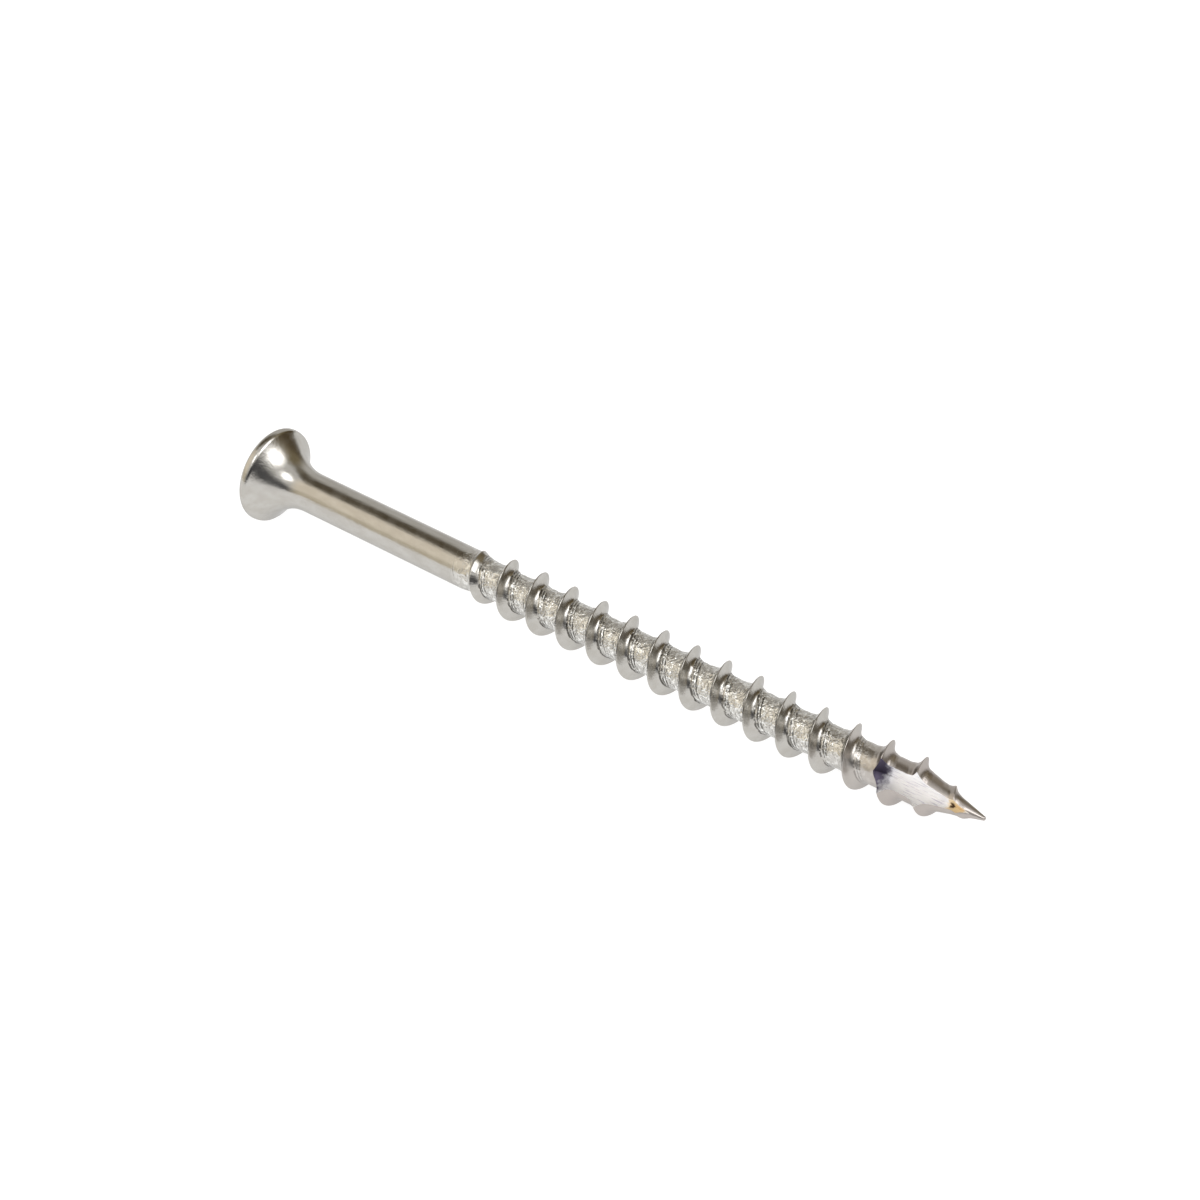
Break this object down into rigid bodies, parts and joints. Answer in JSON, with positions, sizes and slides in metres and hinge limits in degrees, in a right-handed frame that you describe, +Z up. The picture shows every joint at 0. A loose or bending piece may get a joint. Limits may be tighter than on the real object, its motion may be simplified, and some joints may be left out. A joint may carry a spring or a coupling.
{
  "type": "wood screw",
  "caption": "Countersunk wood screw with a flared head underside, plain shank, coarse thread and a self-drilling point with a milled groove.",
  "frame": {"origin": "on the screw's axis, halfway between the flat top of the head and the tip, which is the middle of the bounding box", "axes": "+X along the screw's axis, from the head towards the point; +Z up when the screw lies on its side; the groove in the point opens towards -Y and a little +Z"},
  "size_m": [0.0762, 0.0088, 0.0088],
  "materials": {
    "stainless_steel": "smooth rolled stainless steel: polished head and shank, coarser thread, bright cut groove"
  },
  "bodies": {
    "root": {"wood_screw": "stainless_steel"}
  },
  "joints": []
}
